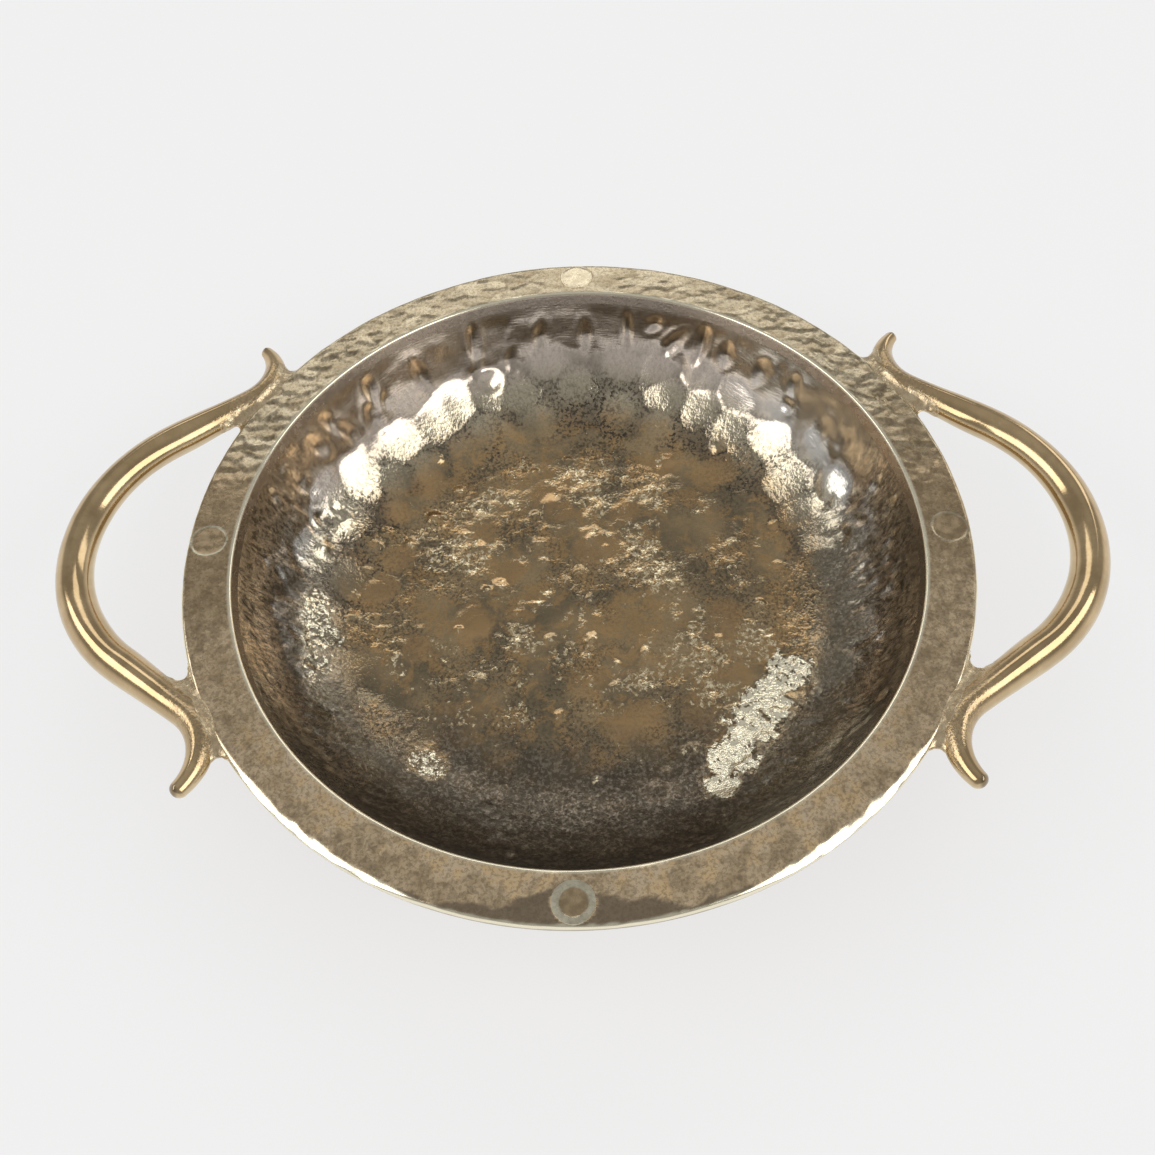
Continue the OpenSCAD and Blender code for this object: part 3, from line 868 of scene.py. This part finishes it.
near_half = [(x, -y, pi - heading, r) for x, y, heading, r in reversed(half_rod(NEAR_TIP_R)[1:])]
line = near_half + half_rod(FAR_TIP_R)
deselect()
x, y, heading, r = line[0]
bpy.ops.mesh.primitive_circle_add(vertices=ROD_SIDES, radius=r * MM, fill_type="NGON",
                                  location=(x * MM, y * MM, ROD_Z * MM),
                                  rotation=(pi / 2, 0, heading + pi / 2))
handle = bpy.context.object
handle.name = handle.data.name = "handle_right_polished"
bpy.ops.object.transform_apply(location=True, rotation=True, scale=True)
edit("SELECT")
for here, there in zip(line, line[1:]):
    centre = (there[0] * MM, there[1] * MM, ROD_Z * MM)
    step = ((there[0] - here[0]) * MM, (there[1] - here[1]) * MM, 0)
    bpy.ops.mesh.extrude_region_move(TRANSFORM_OT_translate={"value": step})
    bpy.ops.transform.rotate(value=-(there[2] - here[2]), orient_axis="Z", center_override=centre)
    grow = there[3] / here[3]
    bpy.ops.transform.resize(value=(grow, grow, grow), center_override=centre)
bpy.ops.mesh.select_all(action="SELECT")
bpy.ops.mesh.normals_make_consistent(inside=False)
leave_edit()

# The rod is dressed to four soft flats that meet in a crest, a little sharper along each horn as it thins
at, _ = places(handle)
step_of = np.arange(len(at)) // ROD_SIDES
from_tip = np.minimum(step_of, len(line) - 1 - step_of)
crest = CREST - 0.1 * fade(1 - from_tip / (HORN_STEPS + DOME_STEPS), 0.15, 0.85)
stations = np.array(line)[step_of]
aside = (at[:, 0] - stations[:, 0]) * np.sin(stations[:, 2])
aside -= (at[:, 1] - stations[:, 1]) * np.cos(stations[:, 2])
round_rod = np.arctan2(at[:, 2] - ROD_Z, aside)
squeeze = (np.abs(np.cos(round_rod)) ** crest + np.abs(np.sin(round_rod)) ** crest) ** (-1 / crest)
spine = np.column_stack([stations[:, :2], np.full(len(at), ROD_Z)])
set_places(handle, spine + (at - spine) * squeeze[:, None])

# The roots are filed hollow to the rim's edge
deselect()
bpy.ops.mesh.primitive_cylinder_add(vertices=SEAT_SIDES, radius=SEAT_R * MM, depth=SEAT_DEEP * MM,
                                    location=(0, 0, ROD_Z * MM))
cut_away(handle, bpy.context.object)
at, normals = places(handle)
reach, _ = polar(at)
dressed = swell(at, 14, 2.0) * 0.10 + swell(at, 5, 6.0) * 0.035
raise_relief(handle, at, normals, (dressed - 0.12) * fade(reach, SEAT_R + 0.1, SEAT_R + 1.0))
rooted = 1 - fade(reach + 1.2 * swell(at, 3.0), 93.0, 97.0)
# The sides and underside, more toward the near side, are painted pale as a reflection of the table and the
# lights
flank = (1 - fade(normals[:, 2], -0.2, 0.75)) * (0.4 + 0.6 * fade(-at[:, 1] + 3 * swell(at, 8, 1.0), -14, 12))
from_end = np.hypot(at[:, 0] - line[-1][0], np.abs(at[:, 1]) - line[-1][1])
keep_mask(handle, "rooted", rooted * fade(at[:, 2], ROD_Z - 1, ROD_Z + 1.5))
keep_mask(handle, "flank", flank * (1 - 0.7 * rooted))
keep_mask(handle, "tipped", 1 - fade(from_end, 1.0, 1.9))
bpy.ops.object.shade_smooth_by_angle(angle=ROD_SMOOTH)

ROD_TONES = (0.50, 0.365, 0.20), (0.63, 0.47, 0.27)
ROD_BLOTCH = (0.38, 0.26, 0.13)
FLANK_SHEEN = (0.88, 0.79, 0.60)
ROOT_PIT = (0.30, 0.24, 0.17)
TIP_DARK = (0.16, 0.12, 0.08)
handle_finish, kit = new_finish("polished_handle_brass", 1.0)
grain = kit.skin(0.6)
blotches = kit.stains(10.0)
root_zone, tip_zone, flank_zone = kit.masks("rooted", "tipped", "flank")
colour = kit.mix(blotches["Cloud"], *ROD_TONES)
root_pits = kit.times(grain["Pits"], 0.6)
# Painted sheen on the sides and underside
colour = kit.lay(colour, (ROD_BLOTCH, blotches["Blotch"], 0.2), (FLANK_SHEEN, flank_zone, 0.85),
                 (ROOT_PIT, root_zone, root_pits), (TIP_DARK, tip_zone, 0.7))
rough = kit.plus(0.09, (blotches["Cloud"], 0.06), (root_zone, 0.12))
dress(kit, colour, rough, kit.times(grain["Height"], kit.sums("ADD", 0.08, root_zone)), 0.22)
handle.data.materials.append(handle_finish)


def mirrored_copy(piece, name, mirror):
    """A copy of a piece with its own mesh, mirrored about the bowl's middle, its faces outward."""
    pick(piece)
    bpy.ops.object.duplicate(linked=False)
    copy = bpy.context.object
    copy.name = copy.data.name = name
    edit("SELECT")
    bpy.ops.transform.resize(value=mirror, center_override=(0, 0, 0))
    bpy.ops.mesh.normals_make_consistent(inside=False)
    leave_edit()
    return copy


handle_left = mirrored_copy(handle, "handle_left_polished", (-1, 1, 1))
for piece, cad in ((handle, "handle_right"), (handle_left, "handle_left")):
    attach(piece, "root")
    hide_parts(cad)


# Brazed seams
# Braze has run in between the rim's edge and each root and stands as a full fillet over both, rounded off in
# the crotches and left a little lumpy, so that the root looks grown out of the rim.
FILLET_R = 2.6
CELL = 0.25
MID_Z = 30.7
ROOT_TURN = radians(31)
FILLET_LONG = 16.0
FILLET_WIDE = 7.0
FILLET_OUT = 1.0
DROP = 20.0
VOXEL = 0.2
outward = np.array([cos(ROOT_TURN), sin(ROOT_TURN)])
onward = np.array([-outward[1], outward[0]])
far_half = np.array(line[len(line) // 2:])
dense = np.concatenate([np.linspace(a, b, 8, endpoint=False) for a, b in zip(far_half, far_half[1:])])
# A quarter of the dressed rod's section, for a rod of radius 1
around = np.linspace(0, pi / 2, 60)
flat_r = (np.cos(around) ** CREST + np.sin(around) ** CREST) ** (-1 / CREST)
flat_aside, flat_high = flat_r * np.cos(around), flat_r * np.sin(around)


def beside_rod(spots):
    """Distances in plan from places to each point along the rod."""
    return np.hypot(spots[:, None, 0] - dense[None, :, 0], spots[:, None, 1] - dense[None, :, 1])


def top_of_both(spots, seated=False):
    """The higher of the rim's and the rod's top over places in plan, the rod whole or cut off at its seat."""
    r = np.hypot(spots[:, 0], spots[:, 1])
    edge = np.sqrt(np.clip(EDGE_R ** 2 - np.clip(r - RIM_R + EDGE_R, 0, None) ** 2, 0, None))
    rim_top = np.where(r < RIM_R, RIM_TOP - EDGE_R + edge, 0.0)
    share = beside_rod(spots) / dense[:, 3]
    rod = (dense[:, 3] * np.interp(share, flat_aside[::-1], flat_high[::-1], right=0)).max(axis=1)
    return np.maximum(rim_top, np.where((rod > 0) & ((r > SEAT_R) | (not seated)), ROD_Z + rod, 0.0))


# A ball rolled over both tops leaves the fillet where it can't reach
ball = round(FILLET_R / CELL)
cols, rows = 4 * round(FILLET_LONG / CELL / 2), 4 * round(FILLET_WIDE / CELL / 2)
us = (np.arange(cols + 1 + 2 * ball) - cols / 2 - ball) * CELL
vs = (np.arange(rows + 1 + 2 * ball) - rows / 2 - ball) * CELL + FILLET_OUT
uu, vv = np.meshgrid(us, vs)
spots = uu.reshape(-1, 1) * onward + (SEAT_R + vv.reshape(-1, 1)) * outward
bare_top = top_of_both(spots).reshape(uu.shape)
cells = [(i, j) for i in range(-ball, ball + 1) for j in range(-ball, ball + 1)]
below_ball = [(i, j, sqrt(FILLET_R ** 2 - (i * i + j * j) * CELL * CELL))
              for i, j in cells if (i * i + j * j) * CELL * CELL < FILLET_R ** 2]
rolled = np.max([np.roll(bare_top, (i, j), (0, 1)) + h for i, j, h in below_ball], axis=0)
closed = np.min([np.roll(rolled, (i, j), (0, 1)) - h for i, j, h in below_ball], axis=0)
inner = (slice(ball, -ball), slice(ball, -ball))
hewn_top = top_of_both(spots, seated=True).reshape(uu.shape)
fill = (closed - hewn_top)[inner]
high = closed[inner] - 0.14 * (1 - fade(fill, 0.0, 0.3))
wetting = fill * (closed[inner] > MID_Z + 0.2)
wet = np.max([np.roll(wetting, (i, j), (0, 1)) for i in range(-4, 5) for j in range(-4, 5)], axis=0)
near_rod = beside_rod(spots).argmin(axis=1)
rod_reach = np.hypot(dense[near_rod, 0], dense[near_rod, 1])
rim_side = (np.hypot(spots[:, 0], spots[:, 1]) < rod_reach + 0.2).reshape(uu.shape)[inner]
kept = (wet > 0.06) & (high > MID_Z + 0.15) & rim_side

deselect()
bpy.ops.mesh.primitive_grid_add(x_subdivisions=cols, y_subdivisions=rows, size=1)
fillet = bpy.context.object
edit("DESELECT")
bpy.ops.mesh.select_mode(type="VERT")
leave_edit()
fillet.data.vertices.foreach_set("select", ~kept.ravel())
at, _ = places(fillet)
at[:, :2] = spots.reshape(uu.shape + (2,))[inner].reshape(-1, 2)
at[:, 2] = np.maximum(high.ravel(), MID_Z)
set_places(fillet, at)
# The dry part is taken away, the rest drawn down, and its underside made the top's mirror image
bpy.ops.object.mode_set(mode="EDIT")
bpy.ops.mesh.delete(type="VERT")
bpy.ops.mesh.select_all(action="SELECT")
bpy.ops.mesh.extrude_region_move(TRANSFORM_OT_translate={"value": (0, 0, -DROP * MM)})
leave_edit()
at, _ = places(fillet)
at[:, 2] = np.where(at[:, 2] < MID_Z - 2, 2 * MID_Z - (at[:, 2] + DROP), at[:, 2])
set_places(fillet, at)

BRAZE_TONES = (0.54, 0.42, 0.26), (0.72, 0.59, 0.39)
BRAZE_PIT = (0.24, 0.19, 0.12)
braze_finish, kit = new_finish("lumpy_braze", 1.0)
grain = kit.skin(0.8)
mottle = kit.stains(2.6)["Cloud"]
colour = kit.lay(kit.mix(mottle, *BRAZE_TONES), (BRAZE_PIT, grain["Pits"], 0.35))
dress(kit, colour, kit.plus(0.27, (grain["Pits"], 0.12)), grain["Height"], 0.25)
for corner, mirror in (("right_far", (1, 1, 1)), ("right_near", (1, -1, 1)),
                       ("left_far", (-1, 1, 1)), ("left_near", (-1, -1, 1))):
    seam = mirrored_copy(fillet, "braze_" + corner + "_lumpy", mirror)
    bpy.ops.object.modifier_add(type="REMESH")
    seam.modifiers[-1].mode = "VOXEL"
    seam.modifiers[-1].voxel_size = VOXEL * MM
    bpy.ops.object.modifier_apply(modifier=seam.modifiers[-1].name)
    at, normals = places(seam)
    raise_relief(seam, at, normals, swell(at, 1.6, 3.0) * 0.08 + swell(at, 0.8, 1.0) * 0.02)
    bpy.ops.object.shade_smooth()
    seam.data.materials.append(braze_finish)
    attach(seam, "root")
    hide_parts("braze_" + corner)
bpy.data.objects.remove(fillet)


# Table, light and camera
# The bowl stands on a plain pale table between two large soft lights, with two fainter panels behind it,
# and is seen from above its near side. These sizes are in metres.
TABLE_WIDE = 8
TABLE_TONES = (0.89, 0.89, 0.90), (0.905, 0.90, 0.90)
TABLE_PALE = (0.97, 0.97, 0.972)
PALE_SHARE = 0.66
deselect()
bpy.ops.mesh.primitive_plane_add(size=TABLE_WIDE)
table = bpy.context.object
table.name = "pale_table"
table_finish, kit = new_finish("pale_table_paint", 0.0)
shader = table_finish.node_tree.nodes["Principled BSDF"]
kit.put(kit.mix(kit.noise(0.004), *TABLE_TONES), shader.inputs["Base Color"])
shader.inputs["Roughness"].default_value = 0.7
shader.inputs["Specular IOR Level"].default_value = 0.2
# To the camera and in the metal the table is mostly its own pale colour, so its shadows stay light
pale = kit.add("Emission", {"Color": TABLE_PALE, "Strength": 1.0})[0]
ray = kit.add("LightPath", {})
seen = kit.sums("ADD", ray["Is Camera Ray"], ray["Is Glossy Ray"])
seen = kit.sums("ADD", seen, ray["Is Transmission Ray"], clamp=True)
surface = kit.add("MixShader", {0: kit.times(seen, PALE_SHARE), 1: shader.outputs[0], 2: pale})[0]
kit.put(surface, table_finish.node_tree.nodes["Material Output"].inputs["Surface"])
table.data.materials.append(table_finish)

# Each light: name, the way to it, width, height, power
LIGHT_AWAY = 2.6
LIGHT_TINT = (1.0, 0.99, 0.975)
LIGHTS = [
    ("left_window", (-0.791, -0.168, 0.588), 2.7, 1.05, 21),
    ("right_window", (0.760, -0.277, 0.588), 2.9, 1.05, 22.5),
    ("far_panel", (-0.085, 0.767, 0.636), 2.2, 0.62, 5.2),
    ("corner_panel", (0.602, 0.646, 0.469), 0.7, 1.1, 3.0)]
for name, toward, wide, tall, power in LIGHTS:
    aim = Vector(toward).normalized()
    bpy.ops.object.light_add(type="AREA", location=aim * LIGHT_AWAY)
    lamp = bpy.context.object
    lamp.name = name
    lamp.rotation_mode = "QUATERNION"
    lamp.rotation_quaternion = aim.to_track_quat("Z", "Y")
    lamp.data.shape = "RECTANGLE"
    lamp.data.size = wide
    lamp.data.size_y = tall
    lamp.data.energy = power
    lamp.data.color = LIGHT_TINT
    lamp.visible_camera = False

# Pale at the horizon and a plain grey above: how high, and the colour there
SURROUND = [
    (0.0, (0.86, 0.86, 0.865)), (0.10, (0.72, 0.72, 0.725)), (0.25, (0.36, 0.358, 0.356)),
    (0.80, (0.36, 0.357, 0.353)), (0.94, (0.47, 0.467, 0.463))]
world = bpy.data.worlds.new("pale_surround")
bpy.context.scene.world = world
world.use_nodes = True
kit = Kit(world.node_tree)
rise = kit.add("SeparateXYZ", {0: kit.add("TexCoord", {})["Generated"]})[2]
ramp = world.node_tree.nodes.new("ShaderNodeValToRGB")
kit.put(rise, ramp.inputs["Fac"])
while len(ramp.color_ramp.elements) < len(SURROUND):
    ramp.color_ramp.elements.new(0.5)
for element, (position, tone) in zip(ramp.color_ramp.elements, SURROUND):
    element.position = position
    element.color = (*tone, 1)
background = world.node_tree.nodes["Background"].inputs
kit.put(ramp.outputs["Color"], background["Color"])
background["Strength"].default_value = 1.0

CAMERA_AT = Vector((8.79, -150.63, 243.61)) * MM
CAMERA_AXES = Matrix(((0.99931, 0.01802, 0.03246), (0.00271, 0.83669, -0.54766),
                      (-0.03703, 0.54737, 0.83607)))
CAMERA_SENSOR = 36
CAMERA_LENS = 35.38
bpy.ops.object.camera_add()
camera = bpy.context.object
camera.matrix_world = Matrix.Translation(CAMERA_AT) @ CAMERA_AXES.to_4x4()
camera.data.sensor_width = CAMERA_SENSOR
camera.data.lens = CAMERA_LENS
camera.data.clip_start = 0.01
bpy.context.scene.camera = camera
bpy.context.scene.view_settings.view_transform = "Standard"
